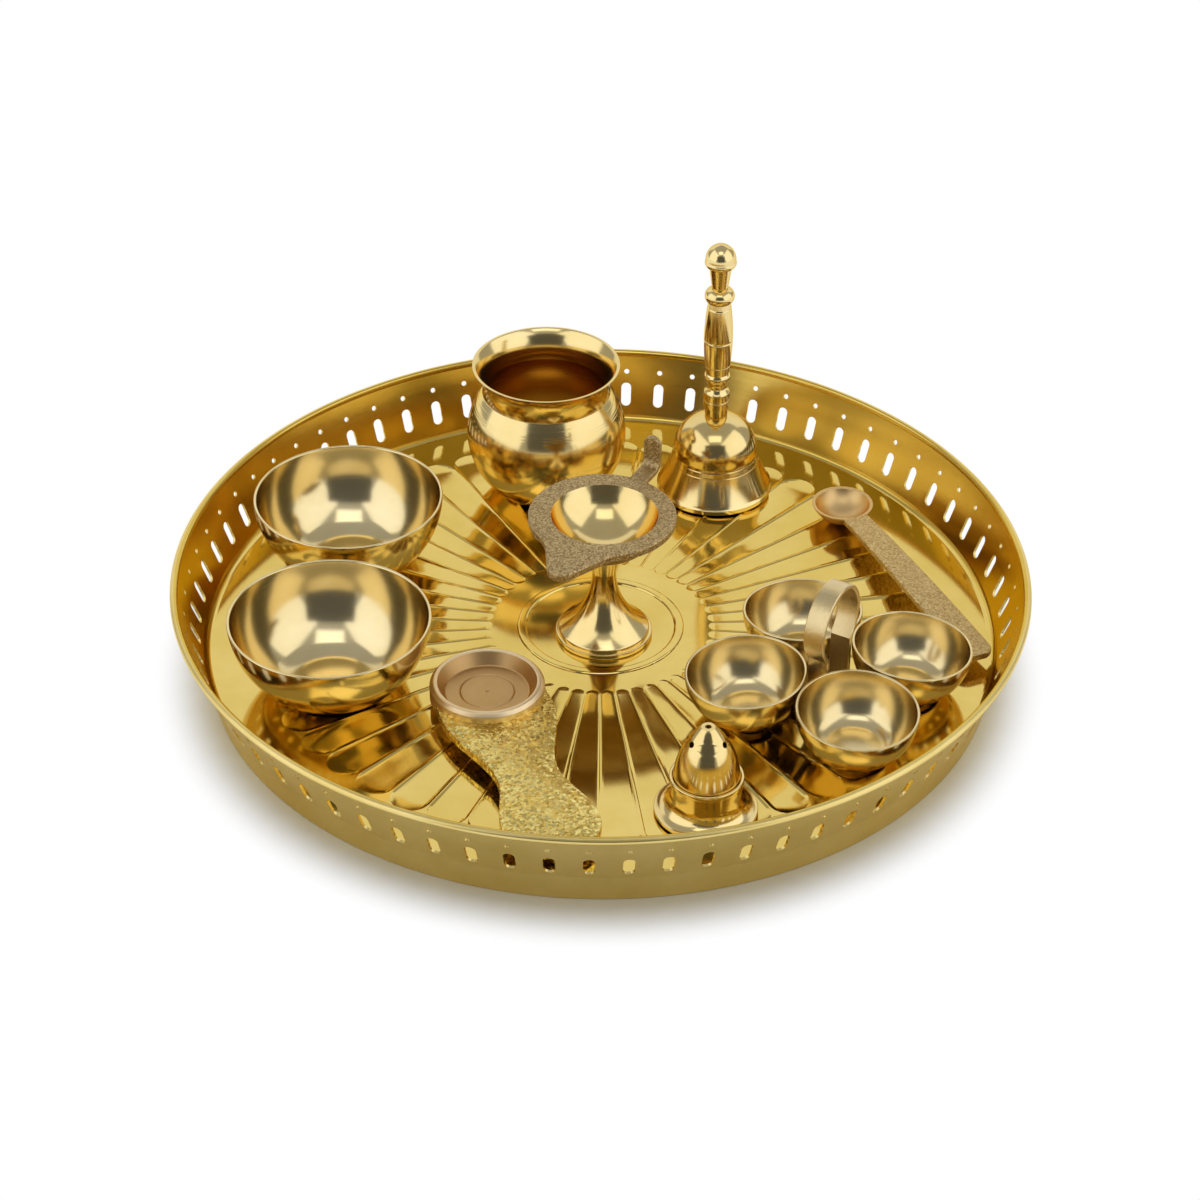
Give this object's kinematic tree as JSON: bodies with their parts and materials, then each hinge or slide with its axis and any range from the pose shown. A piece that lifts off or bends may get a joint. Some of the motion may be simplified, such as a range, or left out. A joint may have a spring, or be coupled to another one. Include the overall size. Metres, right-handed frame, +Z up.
{
  "type": "puja thali",
  "caption": "Round brass tray with a pierced gallery wall and fluted floor, carrying a water pot, hand bell, oil lamp, bowls, cup carrier, camphor burner, incense holder and spoon.",
  "frame": {"origin": "centre of the tray's foot ring, on the surface that it rests on", "axes": "+Z up out of the tray; +X to the right and +Y to the back as the picture shows it, with the pot and bell at the back"},
  "size_m": [0.305, 0.305, 0.1142],
  "materials": {
    "polished_brass": "mirror polish with fine turning marks",
    "cast_brass": "sand cast, brushed over",
    "satin_brass": "satin"
  },
  "bodies": {
    "tray": {"thali_tray": "polished_brass"},
    "kalash": {"kalash_pot": "polished_brass"},
    "bell": {"bell_cup": "polished_brass", "bell_handle": "polished_brass", "bell_eye": "satin_brass"},
    "bell_link": {"clapper_link": "satin_brass"},
    "bell_clapper": {"clapper": "satin_brass"},
    "diya": {"diya_stand": "polished_brass", "diya_dish": "cast_brass"},
    "front_katori": {"katori_front": "polished_brass"},
    "back_katori": {"katori_back": "polished_brass"},
    "burner": {"camphor_burner": "cast_brass"},
    "incense_holder": {"incense_base": "polished_brass"},
    "incense_lid": {"incense_cone": "polished_brass"},
    "cup_set": {"cup_right": "polished_brass", "cup_back": "polished_brass", "cup_left": "polished_brass", "cup_front": "polished_brass", "cup_carrier": "satin_brass", "strap_handle": "satin_brass"},
    "achamani_spoon": {"spoon": "cast_brass"}
  },
  "joints": [
    {"name": "kalash_lift", "type": "slide", "parent": "tray", "child": "kalash", "axis": [0, 0, 1], "range_m": [0, 0.16]},
    {"name": "bell_lift", "type": "slide", "parent": "tray", "child": "bell", "axis": [0, 0, 1], "range_m": [0, 0.16]},
    {"name": "diya_lift", "type": "slide", "parent": "tray", "child": "diya", "axis": [0, 0, 1], "range_m": [0, 0.16]},
    {"name": "front_katori_lift", "type": "slide", "parent": "tray", "child": "front_katori", "axis": [0, 0, 1], "range_m": [0, 0.16]},
    {"name": "back_katori_lift", "type": "slide", "parent": "tray", "child": "back_katori", "axis": [0, 0, 1], "range_m": [0, 0.16]},
    {"name": "burner_lift", "type": "slide", "parent": "tray", "child": "burner", "axis": [0, 0, 1], "range_m": [0, 0.16]},
    {"name": "incense_lift", "type": "slide", "parent": "tray", "child": "incense_holder", "axis": [0, 0, 1], "range_m": [0, 0.16]},
    {"name": "cup_set_lift", "type": "slide", "parent": "tray", "child": "cup_set", "axis": [0, 0, 1], "range_m": [0, 0.16]},
    {"name": "spoon_lift", "type": "slide", "parent": "tray", "child": "achamani_spoon", "axis": [0, 0, 1], "range_m": [0, 0.16]},
    {"name": "cone_lift", "type": "slide", "parent": "incense_holder", "child": "incense_lid", "axis": [0, 0, 1], "range_m": [0, 0.08]},
    {"name": "link_swing", "type": "hinge", "parent": "bell", "child": "bell_link", "pos_m": [0.0433, 0.0926, 0.0322], "axis": [1, 0, 0], "range_deg": [-20, 20]},
    {"name": "clapper_swing", "type": "hinge", "parent": "bell_link", "child": "bell_clapper", "pos_m": [0.0433, 0.0926, 0.0278], "axis": [0, 1, 0], "range_deg": [-40, 40]}
  ]
}
